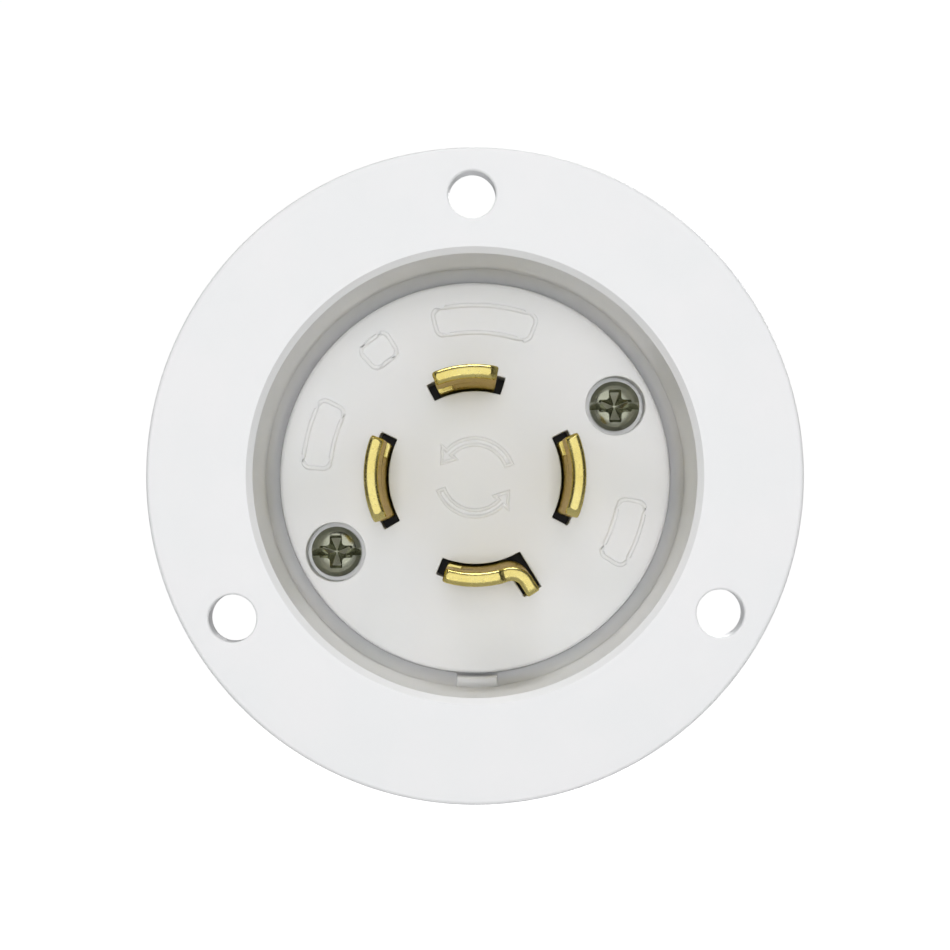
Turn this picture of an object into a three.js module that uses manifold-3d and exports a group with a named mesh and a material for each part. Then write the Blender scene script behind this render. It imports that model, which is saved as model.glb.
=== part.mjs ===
// Flanged power inlet, locking type: a white moulded flange with a round cup, four curved male blades on a
// face plate at the cup's floor, and behind the panel a terminal body with pressure-plate wire clamps.
//
// Units are millimetres. The inlet's axis is Y: the open face looks along -Y, the wires leave along +Y, and
// +Z is up. The origin is on the axis at the flange's back face, which is the plane of the panel.
// Angles are in the XZ plane in degrees, from +X towards +Z, as seen by someone facing the inlet.

import * as THREE from 'three';
import { mergeVertices } from 'three/addons/utils/BufferGeometryUtils.js';
import Module from 'manifold-3d';

const wasm = await Module();
wasm.setup();

// ---------------------------------------------------------------- driving dimensions
const FLANGE_T = 2.8;               // flange thickness
const FLANGE_EDGE = 0.5;            // rounding of the flange's front edge
const FLANGE_BACK_EDGE = 0.3;
const HOLE_R = 2.75;                // panel screw holes
const HOLE_EDGE = 0.3;              // bevel at the mouth of each panel screw hole
const HOLE_FROM_CUP = 4.15;         // from the cup's outside to the middle of each hole
const HOLE_TO_RIM = 5.55;           // from there to the flange's outer edge
const HOLE_ANGLES = [90, 210, 330];

const MOUTH_BEVEL = 0.7;
const CUP_WALL_T = 1.8;             // wall left outside the relief
const RELIEF_DEPTH = 0.8;           // how far the relief goes back from the wall near the mouth
const RELIEF_START = 11.4;          // from the flange front to the relief
const FACE_DEPTH = 19.5;            // from the flange front to the face plate
const LEDGE_T = 2.4;                // cup floor ring that the face plate and terminal body clamp
const LEDGE_LAND = 1.75;            // radial overlap of the face plate on that ring
const RIB_W = 5.1;                  // rib at the bottom of the cup, and the key that carries on from it
const RIB_ROOT = 2.5;               // how far the rib is rooted in the wall in front of the relief
const KEY_REACH = 1.4;              // how far the key stands in from the floor ring

const FACE_GAP = 1.65;              // groove between the face plate and the relief
const GROOVE_DEPTH = 1.9;           // from the face plate's front to that groove's floor
const FACE_SEAT_GAP = 0.2;          // between the face plate's edge and the seat that centres it
const FACE_T = 5.0;
const FACE_RIM = 4.75;              // from the long screws' middles to the face plate's edge
const FACE_EDGE = 0.5;

const BLADE_IN_R = 11.35;           // inner radius of the curved blades
const BLADE_T = 1.65;
const BLADE_SHORT_OF_FRONT = 1.3;   // blade tips stop this far behind the flange front
const TIP_BEVEL = 0.35;
const NOTCH_REACH = 1.95;           // locking notch, along the blade's width
const NOTCH_LEN = 7.4;
const NOTCH_ABOVE_FACE = 3.3;
const LEG_LEN = 1.55;               // straight part of the ground blade's leg, past its bend
const LEG_BEND_R = 1.25;            // inner radius of the ground blade's bend
const LEG_TURN = 76;                // how far that bend turns outward, in degrees
const LEG_TIP_DROP = 0.5;           // the leg's tip is this far behind the blade's tip
const LEG_SIDE = 0.45;              // clearance of the leg's slot on each side of the leg

const SLOT_SIDE = 0.3;              // clearance of a blade slot on each side of the blade
const SLOT_END = 0.9;               // clearance of a blade slot past each end of the blade
const SEAT_DEPTH = 3.2;             // how deep the blade's wide part sits in the terminal body

const BODY_SHOULDER = 2.0;          // how far the terminal body reaches out behind the floor ring
const BODY_WALL = 3.8;              // outside the terminal chambers
const BODY_EDGE = 0.8;
const BODY_LEN = 14.0;              // terminal body behind the cup floor ring
const BODY_FRONT_WALL = 2.6;        // from the cup floor ring's back to the terminal chambers
const SPIGOT_GAP = 0.3;
const COVER_T = 4.4;

const CHAMBER_HALF_W = 5.6;
const CHAMBER_INSIDE = 2.15;        // room in a chamber on the inner side of its blade
const FOOT_HALF_W = 3.9;            // flat rear part of a blade
const FOOT_TAIL = 1.9;              // from the foot's rear edge to the rear cover
const CLAMP_T = 1.4;
const CLAMP_GAP = 0.3;              // between foot and pressure plate when screwed home
const CLAMP_EAR_T = 0.9;
const CLAMP_EAR_DROP = 1.6;
const CLAMP_END_GAP = 0.55;         // from the pressure plate's ends to the chamber and the foot's edge
const SLIP_GAP = 0.3;               // running gap around pieces that slide

const SCREW_R = 2.085;              // number 8 terminal screw
const THREAD_PITCH = 0.79375;       // 32 threads to the inch
const THREAD_GAP = 0.14;
const SCREW_TIP_GAP = 0.35;         // left between a terminal screw's tip and the chamber's floor
const SCREW_HEAD_R = 3.8;
const SCREW_HEAD_H = 2.2;
const HEAD_SEAT_GAP = 0.15;
const HEAD_WALL_GAP = 0.95;         // from a terminal screw's head to the chamber's front wall
const DRIVER_HOLE_R = 3.4;          // screwdriver access in the side of the terminal body
const WIRE_HOLE_R = 3.15;
const WIRE_FUNNEL = 0.9;
const WIRE_PAST_CLAMP = 1.6;        // from the pressure plate's inner face to a wire entry's axis

const LONG_SCREWS_OUT = 7.2;        // from the blades' outside to the long screws' middles
const ASSEMBLY_ANGLES = { upper: 26.5, lower: 207.5 };
const LONG_SCREW_R = 1.72;          // number 6 screw
const LONG_HEAD_R = 3.2;
const LONG_HEAD_H = 2.3;
const LONG_HEAD_SUNK = 0.8;
const HEAD_POCKET_GAP = 0.55;
const LONG_SCREW_GAP = 0.25;
const NUT_ACROSS_FLATS = 6.35;
const NUT_T = 2.4;
const NUT_GAP = 0.15;
const NUT_SUNK = 0.4;
const RECESS_W = 0.85;              // cross recess and slot of every screw head
const RECESS_DEPTH = 1.2;

const ROUND_STEPS = 72;             // facets round the large diameters
const SMALL_STEPS = 20;             // facets round screws and holes
const ARC_STEPS = 5;                // half the facets along each curve of an outline
const BIG_CUT = 8;                  // how far a cutting body runs past what it cuts

// The terminals: where each blade's curved part starts and ends, which end has its locking notch, and the
// direction in which its clamp faces.
const TERMINALS = {
  x: { blade: 'blade_hot_x', facing: 180, from: 157.9, to: 204.8, notch: 'from', screw: 0xc9a24b },
  y: { blade: 'blade_hot_y', facing: 0, from: -23.5, to: 22.2, notch: 'to', screw: 0xc9a24b },
  w: { blade: 'blade_neutral', facing: 90, from: 76.9, to: 112.6, notch: 'to', screw: 0xb9bcb8 },
  g: { blade: 'blade_ground', facing: 270, from: 252, to: 287, notch: 'from', screw: 0x2f7d46, leg: true },
};

// ---------------------------------------------------------------- derived places along Y
const yFront = -FLANGE_T;
const yRelief = yFront + RELIEF_START;
const yFace = yFront + FACE_DEPTH;
const yGroove = yFace + GROOVE_DEPTH;
const yLedge = yFace + FACE_T;
const yLedgeBack = yLedge + LEDGE_T;
const yShoulder = yLedge + SEAT_DEPTH;
const yChamber = yLedgeBack + BODY_FRONT_WALL;
const yCover = yLedgeBack + BODY_LEN;
const yRear = yCover + COVER_T;
const yTip = yFront + BLADE_SHORT_OF_FRONT;
const yFootEnd = yCover - FOOT_TAIL;
const yTerminalScrew = yChamber + HEAD_WALL_GAP + SCREW_HEAD_R;
const yLongSeat = yFace + LONG_HEAD_SUNK + LONG_HEAD_H;
const yNut = yRear - NUT_SUNK - NUT_T;

const clampLen = yFootEnd - yChamber - 2 * CLAMP_END_GAP;

// derived radii, outward from the ring of blades
const bladeOutR = BLADE_IN_R + BLADE_T;
const longScrewsR = bladeOutR + LONG_SCREWS_OUT;
const faceR = longScrewsR + FACE_RIM;
const reliefR = faceR + FACE_GAP;
const wallR = reliefR - RELIEF_DEPTH;
const cupR = reliefR + CUP_WALL_T;
const holesR = cupR + HOLE_FROM_CUP;
const flangeR = holesR + HOLE_TO_RIM;
const faceSeatR = faceR + FACE_SEAT_GAP;
const ledgeR = faceR - LEDGE_LAND;
const spigotR = ledgeR - SPIGOT_GAP;
const bodyR = ledgeR + BODY_SHOULDER;

// derived radii inside the terminal chambers
const chamberInR = BLADE_IN_R - CHAMBER_INSIDE;
const chamberOutR = bodyR - BODY_WALL;
const clampR = bladeOutR + CLAMP_GAP;
const headSeatR = clampR + CLAMP_T + HEAD_SEAT_GAP;
const screwLen = headSeatR - chamberInR - SCREW_TIP_GAP;
const wireHolesR = clampR + WIRE_PAST_CLAMP;

// ---------------------------------------------------------------- solids and booleans
const rad = THREE.MathUtils.degToRad;

function solid(geometry) {
  const bare = geometry.index ? geometry.toNonIndexed() : geometry.clone();
  bare.deleteAttribute('normal');
  bare.deleteAttribute('uv');
  const merged = mergeVertices(bare, 1e-5);
  const vertProperties = new Float32Array(merged.attributes.position.array);
  const triVerts = withoutSlivers(new Uint32Array(merged.index.array));
  const body = new wasm.Manifold(new wasm.Mesh({ numProp: 3, vertProperties, triVerts }));
  if (body.volume() > 0) return body;
  const turned = triVerts.map((_, i) => triVerts[i - (i % 3) + [0, 2, 1][i % 3]]);
  return new wasm.Manifold(new wasm.Mesh({ numProp: 3, vertProperties, triVerts: turned }));
}

// Triangles whose corners have merged, as at the axis of a lathed body, hold no area and are left out.
function withoutSlivers(corners) {
  const kept = [];
  for (let i = 0; i < corners.length; i += 3) {
    const [a, b, c] = [corners[i], corners[i + 1], corners[i + 2]];
    if (a !== b && b !== c && c !== a) kept.push(a, b, c);
  }
  return new Uint32Array(kept);
}

function geometryOf(body) {
  const mesh = body.getMesh();
  const geometry = new THREE.BufferGeometry();
  geometry.setAttribute('position', new THREE.BufferAttribute(mesh.vertProperties, 3));
  geometry.setIndex(new THREE.BufferAttribute(mesh.triVerts, 1));
  return geometry;
}

const joined = (...bodies) => bodies.reduce((whole, body) => whole.add(body));
const cut = (body, ...tools) => tools.reduce((left, tool) => left.subtract(tool), body);

// A turned body on the Y axis, from [radius, y] points.
function turned(points, steps = ROUND_STEPS) {
  const closed = points[0][0] === 0 ? points : [...points, points[0]];
  return solid(new THREE.LatheGeometry(closed.map(([r, y]) => new THREE.Vector2(r, y)), steps));
}

// An outline in the XZ plane, drawn through a length of Y, with both ends bevelled if asked.
function prism(shape, yStart, yEnd, bevel = 0) {
  const outline = new THREE.Shape(distinct(shape.getPoints(ARC_STEPS)));
  const geometry = new THREE.ExtrudeGeometry(outline, {
    depth: yEnd - yStart - 2 * bevel,
    bevelEnabled: bevel > 0,
    bevelThickness: bevel,
    bevelSize: bevel,
    bevelOffset: -bevel,
    bevelSegments: 1,
  });
  geometry.rotateX(Math.PI / 2);
  geometry.translate(0, yEnd - bevel, 0);
  return solid(geometry);
}

// Where one curve of an outline ends and the next starts, the point that they share is kept once.
function distinct(points) {
  return points.filter((point, i) => point.distanceTo(points.at(i - 1)) > 1e-4);
}

// A round bar along Y, centred on the polar place (r, angle) of the XZ plane.
function bar(radius, yStart, yEnd, r = 0, angle = 0, mouthRadius = radius) {
  const geometry = new THREE.CylinderGeometry(radius, mouthRadius, yEnd - yStart, SMALL_STEPS);
  const [x, z] = polar(r, angle);
  geometry.translate(x, (yStart + yEnd) / 2, z);
  return solid(geometry);
}

// A round bar along the radial direction X, from one radius to another, at a place along Y.
function radialBar(radius, rStart, rEnd, y, steps = SMALL_STEPS) {
  const geometry = new THREE.CylinderGeometry(radius, radius, rEnd - rStart, steps);
  geometry.rotateZ(-Math.PI / 2);
  geometry.translate((rStart + rEnd) / 2, y, 0);
  return solid(geometry);
}

function block([x0, x1], [y0, y1], [z0, z1]) {
  const geometry = new THREE.BoxGeometry(x1 - x0, y1 - y0, z1 - z0);
  geometry.translate((x0 + x1) / 2, (y0 + y1) / 2, (z0 + z1) / 2);
  return solid(geometry);
}

// The same body, drawn facing +X, turned about the inlet's axis to face an angle.
function turnedTo(body, angle) {
  const geometry = geometryOf(body);
  geometry.rotateY(-rad(angle));
  return solid(geometry);
}

const polar = (r, angle) => [r * Math.cos(rad(angle)), r * Math.sin(rad(angle))];

// ---------------------------------------------------------------- outlines
function ringSector(rIn, rOut, from, to) {
  const shape = new THREE.Shape();
  shape.absarc(0, 0, rOut, rad(from), rad(to), false);
  shape.absarc(0, 0, rIn, rad(to), rad(from), true);
  shape.closePath();
  return shape;
}

function outlineOf(points) {
  return new THREE.Shape(points.map(([x, z]) => new THREE.Vector2(x, z)));
}

// Degrees round the axis that a length takes at the blades' inner radius.
const alongBlade = (length) => THREE.MathUtils.radToDeg(length / BLADE_IN_R);

// Where the ground blade's leg bends and which way it then runs.
function legLine() {
  const { to } = TERMINALS.g;
  const centre = polar(bladeOutR + LEG_BEND_R, to);
  const stop = to + 180 - LEG_TURN;
  const along = polar(1, stop - 90);
  const across = polar(1, stop);
  const mid = LEG_BEND_R + BLADE_T / 2;
  const start = [centre[0] + mid * across[0], centre[1] + mid * across[1]];
  const at = (length, side) => [
    start[0] + length * along[0] + side * across[0],
    start[1] + length * along[1] + side * across[1],
  ];
  return { centre, stop, at };
}

// The bend and leg of the ground blade, with a short lap back into the arc that it grows from.
function legOutline() {
  const { to } = TERMINALS.g;
  const { centre, stop, at } = legLine();
  const lap = to - alongBlade(BLADE_T / 2);
  const [bendFrom, bendTo] = [rad(to + 180), rad(stop)];
  const shape = new THREE.Shape();
  shape.moveTo(...polar(BLADE_IN_R, lap));
  shape.absarc(...centre, LEG_BEND_R + BLADE_T, bendFrom, bendTo, true);
  shape.lineTo(...at(LEG_LEN, BLADE_T / 2));
  shape.lineTo(...at(LEG_LEN, -BLADE_T / 2));
  shape.absarc(...centre, LEG_BEND_R, bendTo, bendFrom, false);
  shape.lineTo(...polar(bladeOutR, lap));
  shape.closePath();
  return shape;
}

// The hole that a blade's curved part passes through.
function bladeSlot(terminal, yStart, yEnd) {
  const past = alongBlade(SLOT_END);
  const [rIn, rOut] = [BLADE_IN_R - SLOT_SIDE, bladeOutR + SLOT_SIDE];
  const sector = (to) => prism(ringSector(rIn, rOut, terminal.from - past, to), yStart, yEnd);
  if (!terminal.leg) return sector(terminal.to + past);
  const { at } = legLine();
  const half = BLADE_T / 2 + LEG_SIDE;
  const bendBack = -(LEG_BEND_R + BLADE_T / 2);
  const corner = at(bendBack, half);
  const cornerAngle = THREE.MathUtils.radToDeg(Math.atan2(corner[1], corner[0])) + 360;
  const leg = outlineOf([at(bendBack, half), at(LEG_LEN + SLOT_END, half),
    at(LEG_LEN + SLOT_END, -half), at(bendBack, -half)]);
  return joined(sector(cornerAngle), prism(leg, yStart, yEnd));
}

// ---------------------------------------------------------------- the flange and its cup
function flangeHousing() {
  const halfRib = THREE.MathUtils.radToDeg(RIB_W / 2 / wallR);
  const down = TERMINALS.g.facing;
  const rib = ringSector(wallR, reliefR + CUP_WALL_T / 2, down - halfRib, down + halfRib);
  const key = ringSector(ledgeR - KEY_REACH, ledgeR + LEDGE_LAND / 2, down - halfRib, down + halfRib);
  let body = turned([
    [wallR + MOUTH_BEVEL, yFront],
    ...roundedEdge(flangeR, yFront, FLANGE_EDGE),
    [flangeR, -FLANGE_BACK_EDGE],
    [flangeR - FLANGE_BACK_EDGE, 0],
    [cupR, 0],
    [cupR, yLedgeBack],
    [ledgeR, yLedgeBack],
    [ledgeR, yLedge],
    [faceSeatR, yLedge],
    [faceSeatR, yGroove],
    [reliefR, yGroove],
    [reliefR, yRelief],
    [wallR, yRelief],
    [wallR, yFront + MOUTH_BEVEL],
  ]);
  body = joined(
    body, prism(rib, yRelief - RIB_ROOT, yLedge + LEDGE_T / 2), prism(key, yLedge, yLedgeBack));
  for (const angle of HOLE_ANGLES) {
    const mouth = HOLE_R + 2 * HOLE_EDGE;
    body = cut(
      body,
      bar(HOLE_R, yFront - BIG_CUT, BIG_CUT, holesR, angle),
      bar(HOLE_R, yFront - HOLE_EDGE, yFront + HOLE_EDGE, holesR, angle, mouth),
    );
  }
  return body;
}

// Profile points round the front edge of a turned body, from its front face to its side.
function roundedEdge(r, y, edge, steps = 3) {
  return Array.from({ length: steps + 1 }, (_, i) => {
    const turn = (i / steps) * (Math.PI / 2);
    return [r - edge * (1 - Math.sin(turn)), y + edge * (1 - Math.cos(turn))];
  });
}

// ---------------------------------------------------------------- the face plate
function facePlate() {
  let body = turned([
    [0, yFace],
    ...roundedEdge(faceR, yFace, FACE_EDGE),
    [faceR, yLedge],
    [0, yLedge],
  ]);
  for (const terminal of Object.values(TERMINALS)) {
    body = cut(body, bladeSlot(terminal, yFace - BIG_CUT, yLedge + BIG_CUT));
  }
  for (const angle of Object.values(ASSEMBLY_ANGLES)) {
    body = cut(
      body,
      bar(LONG_HEAD_R + HEAD_POCKET_GAP, yFace - BIG_CUT, yLongSeat, longScrewsR, angle),
      bar(LONG_SCREW_R + LONG_SCREW_GAP, yFace, yLedge + BIG_CUT, longScrewsR, angle),
    );
  }
  return body;
}

// ---------------------------------------------------------------- the blades
// A blade is a curved strip as far as its shoulder, then a narrower flat foot with the clamp's screw hole.
function blade(terminal) {
  const { from, to } = terminal;
  const arc = prism(ringSector(BLADE_IN_R, bladeOutR, from, to), yTip, yShoulder, TIP_BEVEL);
  const reach = alongBlade(NOTCH_REACH);
  const notchEnd = terminal.notch === 'to' ? to : from;
  const yNotch = yFace - NOTCH_ABOVE_FACE;
  const around = ringSector(BLADE_IN_R - BLADE_T, bladeOutR + BLADE_T, notchEnd - reach, notchEnd + reach);
  const notch = prism(around, yNotch - NOTCH_LEN, yNotch);
  const foot = block(
    [BLADE_IN_R, bladeOutR], [yShoulder - BLADE_T, yFootEnd], [-FOOT_HALF_W, FOOT_HALF_W]);
  const tapped = radialBar(SCREW_R + THREAD_GAP, 0, bodyR, yTerminalScrew);
  let body = cut(arc, notch);
  if (terminal.leg) body = joined(body, prism(legOutline(), yTip + LEG_TIP_DROP, yShoulder, TIP_BEVEL / 2));
  return joined(body, turnedTo(cut(foot, tapped), terminal.facing));
}

// ---------------------------------------------------------------- the wire clamps
// The pressure plate, drawn facing +X: a flat plate outside the foot, with an ear down each side of it.
function clampPlate() {
  const ear = FOOT_HALF_W + SLIP_GAP;
  const ys = [yTerminalScrew - clampLen / 2, yTerminalScrew + clampLen / 2];
  const plate = block([clampR, clampR + CLAMP_T], ys, [-ear - CLAMP_EAR_T, ear + CLAMP_EAR_T]);
  const ears = [-1, 1].map((side) => block(
    [clampR - CLAMP_EAR_DROP, clampR + CLAMP_T / 2],
    ys,
    side > 0 ? [ear, ear + CLAMP_EAR_T] : [-ear - CLAMP_EAR_T, -ear],
  ));
  return cut(joined(plate, ...ears), radialBar(SCREW_R + THREAD_GAP, 0, bodyR, yTerminalScrew));
}

// The slot and cross recess of a combination head, cut into the end of a head that faces +X.
function headRecess(headR, rTop, y) {
  const slot = block(
    [rTop - RECESS_DEPTH * 0.7, rTop + 1], [y - headR * 2, y + headR * 2], [-RECESS_W / 2, RECESS_W / 2]);
  const arms = [0, 1].map((turn) => {
    const [a, b] = turn ? [RECESS_W / 2, headR * 0.5] : [headR * 0.5, RECESS_W / 2];
    return block([rTop - RECESS_DEPTH, rTop + 1], [y - a, y + a], [-b, b]);
  });
  return joined(slot, ...arms);
}

// A pan-headed screw along X with its head outward, drawn at y on the inlet's side.
function panScrew({ shankR, length, headR, headH, rSeat, y, tipBevel }) {
  const profile = [
    [0, -length],
    [shankR - tipBevel, -length],
    [shankR, -length + tipBevel],
    [shankR, 0],
    [headR, 0],
    [headR, headH * 0.55],
    [headR * 0.88, headH * 0.85],
    [headR * 0.66, headH],
    [0, headH],
  ];
  const points = profile.map(([r, h]) => new THREE.Vector2(r, h));
  const geometry = new THREE.LatheGeometry(points, SMALL_STEPS);
  geometry.rotateZ(-Math.PI / 2);
  geometry.translate(rSeat, y, 0);
  return cut(solid(geometry), headRecess(headR, rSeat + headH, y));
}

function terminalScrew() {
  return panScrew({
    shankR: SCREW_R,
    length: screwLen,
    headR: SCREW_HEAD_R,
    headH: SCREW_HEAD_H,
    rSeat: headSeatR,
    y: yTerminalScrew,
    tipBevel: THREAD_PITCH / 2,
  });
}

// ---------------------------------------------------------------- the long screws and their nuts
function assemblyScrew() {
  const body = panScrew({
    shankR: LONG_SCREW_R,
    length: yRear - NUT_SUNK - yLongSeat,
    headR: LONG_HEAD_R,
    headH: LONG_HEAD_H,
    rSeat: 0,
    y: 0,
    tipBevel: LONG_SCREW_R / 4,
  });
  const geometry = geometryOf(body);
  geometry.rotateZ(-Math.PI / 2);
  geometry.rotateY(Math.PI / 2);
  geometry.translate(0, yLongSeat, 0);
  return solid(geometry);
}

function hexOutline(acrossFlats) {
  const r = acrossFlats / 2 / Math.cos(Math.PI / 6);
  return outlineOf(Array.from({ length: 6 }, (_, i) => polar(r, i * 60)));
}

function assemblyNut() {
  const bore = bar(LONG_SCREW_R + THREAD_GAP, yCover - BIG_CUT, yRear + BIG_CUT);
  return cut(prism(hexOutline(NUT_ACROSS_FLATS), yNut, yNut + NUT_T), bore);
}

// ---------------------------------------------------------------- the terminal body
function terminalBody() {
  let body = turned([
    [0, yLedge],
    [spigotR, yLedge],
    [spigotR, yLedgeBack],
    [bodyR, yLedgeBack],
    [bodyR, yCover],
    [0, yCover],
  ]);
  const keyHalf = RIB_W / 2 + SLIP_GAP;
  const keyway = block(
    [ledgeR - KEY_REACH - SLIP_GAP, bodyR + 1], [yLedge - 1, yLedgeBack], [-keyHalf, keyHalf]);
  body = cut(body, turnedTo(keyway, TERMINALS.g.facing));
  for (const terminal of Object.values(TERMINALS)) {
    const halfNeck = FOOT_HALF_W + SLIP_GAP;
    const neck = block(
      [BLADE_IN_R - SLIP_GAP, bladeOutR + SLIP_GAP],
      [yShoulder - BLADE_T - SLIP_GAP, yCover],
      [-halfNeck, halfNeck],
    );
    const chamber = block(
      [chamberInR, chamberOutR], [yChamber, yCover + 1], [-CHAMBER_HALF_W, CHAMBER_HALF_W]);
    const driver = radialBar(DRIVER_HOLE_R, chamberOutR - 1, bodyR + 1, yTerminalScrew);
    body = cut(body, bladeSlot(terminal, yLedge - 1, yShoulder));
    body = cut(body, turnedTo(joined(neck, chamber, driver), terminal.facing));
  }
  for (const angle of Object.values(ASSEMBLY_ANGLES)) {
    body = cut(body, bar(LONG_SCREW_R + LONG_SCREW_GAP, yLedge - 1, yCover + 1, longScrewsR, angle));
  }
  return body;
}

// ---------------------------------------------------------------- the rear cover
function rearCover() {
  let body = turned([
    [0, yCover],
    [bodyR, yCover],
    [bodyR, yRear - BODY_EDGE],
    [bodyR - BODY_EDGE, yRear],
    [0, yRear],
  ]);
  for (const { facing: angle } of Object.values(TERMINALS)) {
    const stop = block(
      [BLADE_IN_R - SLIP_GAP, bladeOutR - SLIP_GAP],
      [yFootEnd + SLIP_GAP, yCover + 1],
      [-FOOT_HALF_W / 2, FOOT_HALF_W / 2],
    );
    const yFunnel = yRear - WIRE_FUNNEL;
    const past = WIRE_HOLE_R + 2 * WIRE_FUNNEL;
    body = joined(body, turnedTo(stop, angle));
    body = cut(
      body,
      bar(WIRE_HOLE_R, yCover - BIG_CUT, yRear + BIG_CUT, wireHolesR, angle),
      bar(past, yFunnel, yRear + WIRE_FUNNEL, wireHolesR, angle, WIRE_HOLE_R),
    );
  }
  for (const angle of Object.values(ASSEMBLY_ANGLES)) {
    const pocket = geometryOf(prism(hexOutline(NUT_ACROSS_FLATS + 2 * NUT_GAP), yNut, yRear + 1));
    const [x, z] = polar(longScrewsR, angle);
    pocket.translate(x, 0, z);
    const passage = bar(LONG_SCREW_R + LONG_SCREW_GAP, yCover - 1, yRear, longScrewsR, angle);
    body = cut(body, solid(pocket), passage);
  }
  return body;
}

// ---------------------------------------------------------------- finishes
const whiteNylon = { color: 0xebebeb, roughness: 0.38, metalness: 0 };
const blackNylon = { color: 0x1c1c1e, roughness: 0.5, metalness: 0 };
const brass = { color: 0xd9bd62, roughness: 0.3, metalness: 1 };
const nickel = { color: 0xb9bcb8, roughness: 0.32, metalness: 1 };
const zincSteel = { color: 0xc3c5c8, roughness: 0.4, metalness: 1 };

// ---------------------------------------------------------------- the scene graph
const inlet = new THREE.Group();

function place(name, body, finish, parent = inlet) {
  const mesh = new THREE.Mesh(geometryOf(body), new THREE.MeshStandardMaterial(finish));
  mesh.name = name;
  parent.add(mesh);
  return mesh;
}

place('flange_housing', flangeHousing(), whiteNylon);
place('face_plate', facePlate(), whiteNylon);
place('terminal_body', terminalBody(), blackNylon);
place('rear_cover', rearCover(), blackNylon);

for (const [letter, terminal] of Object.entries(TERMINALS)) {
  const station = new THREE.Group();
  station.rotation.y = -rad(terminal.facing);
  inlet.add(station);
  place(terminal.blade, blade(terminal), brass);
  place(`clamp_plate_${letter}`, clampPlate(), zincSteel, station);
  place(`terminal_screw_${letter}`, terminalScrew(), { ...nickel, color: terminal.screw }, station);
}

for (const [side, angle] of Object.entries(ASSEMBLY_ANGLES)) {
  const [x, z] = polar(longScrewsR, angle);
  place(`assembly_screw_${side}`, assemblyScrew(), nickel).position.set(x, 0, z);
  place(`assembly_nut_${side}`, assemblyNut(), zincSteel).position.set(x, 0, z);
}

export default inlet;
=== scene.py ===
"""A flanged locking power inlet, dressed round its CAD frame.

The inlet's axis is Y. Its open face looks along -Y, the wires leave along +Y and +Z is up. Lengths in this
file are millimetres until mesh_object turns them into metres. Angles are degrees in the XZ plane, from +X
towards +Z, as seen by someone facing the inlet.
"""

import math

import bmesh
import bpy
from mathutils import Matrix, Vector


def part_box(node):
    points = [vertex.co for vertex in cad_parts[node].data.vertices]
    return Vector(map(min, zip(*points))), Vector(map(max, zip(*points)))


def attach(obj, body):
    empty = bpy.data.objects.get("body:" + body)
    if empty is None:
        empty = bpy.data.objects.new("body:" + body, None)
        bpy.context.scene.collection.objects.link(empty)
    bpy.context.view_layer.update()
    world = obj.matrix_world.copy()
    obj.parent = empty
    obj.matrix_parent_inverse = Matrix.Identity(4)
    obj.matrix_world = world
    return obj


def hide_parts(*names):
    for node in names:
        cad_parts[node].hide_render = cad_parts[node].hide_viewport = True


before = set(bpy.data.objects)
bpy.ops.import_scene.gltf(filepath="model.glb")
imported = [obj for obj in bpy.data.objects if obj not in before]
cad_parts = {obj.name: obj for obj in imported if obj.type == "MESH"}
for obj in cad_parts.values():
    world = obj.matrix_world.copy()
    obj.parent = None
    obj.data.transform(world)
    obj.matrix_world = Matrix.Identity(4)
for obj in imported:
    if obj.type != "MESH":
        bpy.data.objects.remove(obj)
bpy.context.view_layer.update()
MM = 0.001
SKY_LIGHT = 0.07  # how bright the white room is as a lamp, as a share of full white
SKY_SEEN = 1.02  # how bright the same room looks behind the object


# ------------------------------------------------------------------ sizes from the frame
def edge(node, corner, axis):
    """One face of a CAD node's box, in millimetres. Corner 0 is low, 1 is high. Axis 0, 1, 2 is X, Y, Z."""
    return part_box(node)[corner][axis] / MM


FLANGE_R = edge("flange_housing", 1, 0)
Y_FRONT = edge("flange_housing", 0, 1)
Y_LEDGE_BACK = edge("flange_housing", 1, 1)
FACE_R = edge("face_plate", 1, 0)
Y_FACE = edge("face_plate", 0, 1)
Y_LEDGE = edge("face_plate", 1, 1)
BODY_R = edge("terminal_body", 1, 0)
Y_COVER = edge("terminal_body", 1, 1)
Y_REAR = edge("rear_cover", 1, 1)
Y_TIP = edge("blade_hot_y", 0, 1)
Y_FOOT_END = edge("blade_hot_y", 1, 1)
Y_CLAMP = [edge("clamp_plate_y", corner, 1) for corner in (0, 1)]
CLAMP_X = [edge("clamp_plate_y", corner, 0) for corner in (0, 1)]
CLAMP_HALF_W = edge("clamp_plate_y", 1, 2)
SCREW_X = [edge("terminal_screw_y", corner, 0) for corner in (0, 1)]
SCREW_HEAD_R = (edge("terminal_screw_y", 1, 1) - edge("terminal_screw_y", 0, 1)) / 2
Y_SCREW = (edge("terminal_screw_y", 1, 1) + edge("terminal_screw_y", 0, 1)) / 2
Y_LONG_HEAD = edge("assembly_screw_upper", 0, 1)
Y_LONG_TIP = edge("assembly_screw_upper", 1, 1)
LONG_HEAD_R = (edge("assembly_screw_upper", 1, 0) - edge("assembly_screw_upper", 0, 0)) / 2
Y_NUT = [edge("assembly_nut_upper", corner, 1) for corner in (0, 1)]
NUT_ACROSS_FLATS = edge("assembly_nut_upper", 1, 2) - edge("assembly_nut_upper", 0, 2)

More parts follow.
